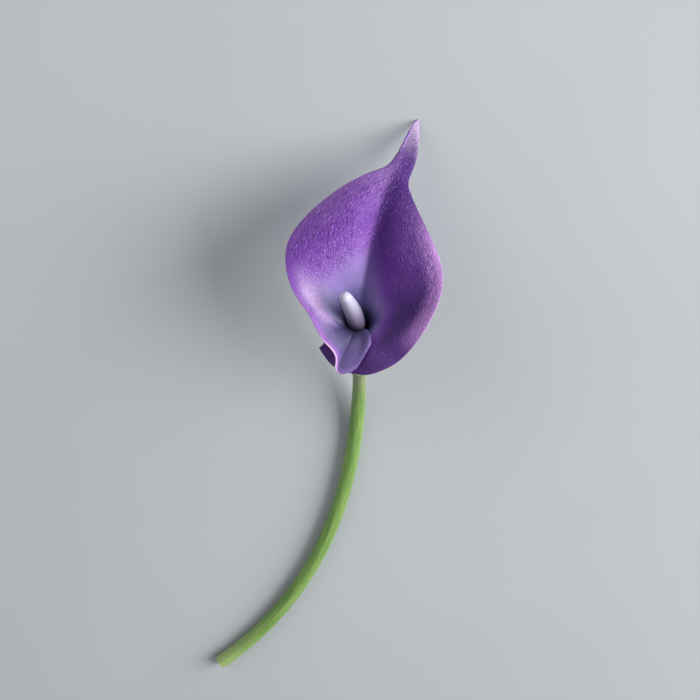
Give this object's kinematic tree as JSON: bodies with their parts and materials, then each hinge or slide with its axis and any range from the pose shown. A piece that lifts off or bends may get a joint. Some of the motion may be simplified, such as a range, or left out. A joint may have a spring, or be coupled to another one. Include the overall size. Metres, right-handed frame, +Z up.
{
  "type": "calla lily flower",
  "caption": "Cut calla lily lying on its back: a funnel-shaped spathe drawn out to a tail, a spadix in its throat, and a curved stalk.",
  "frame": {"origin": "centre of the bounding box's base, on the surface that the flower lies on", "axes": "+Z up from the surface; +Y from the cut end of the stalk towards the tail of the spathe; +X to the right, seen from above"},
  "size_m": [0.1092, 0.2918, 0.0611],
  "materials": {
    "spathe": null,
    "spadix": null,
    "stem": null
  },
  "bodies": {
    "root": {"spathe": "spathe", "spadix": "spadix", "stem": "stem"}
  },
  "joints": []
}
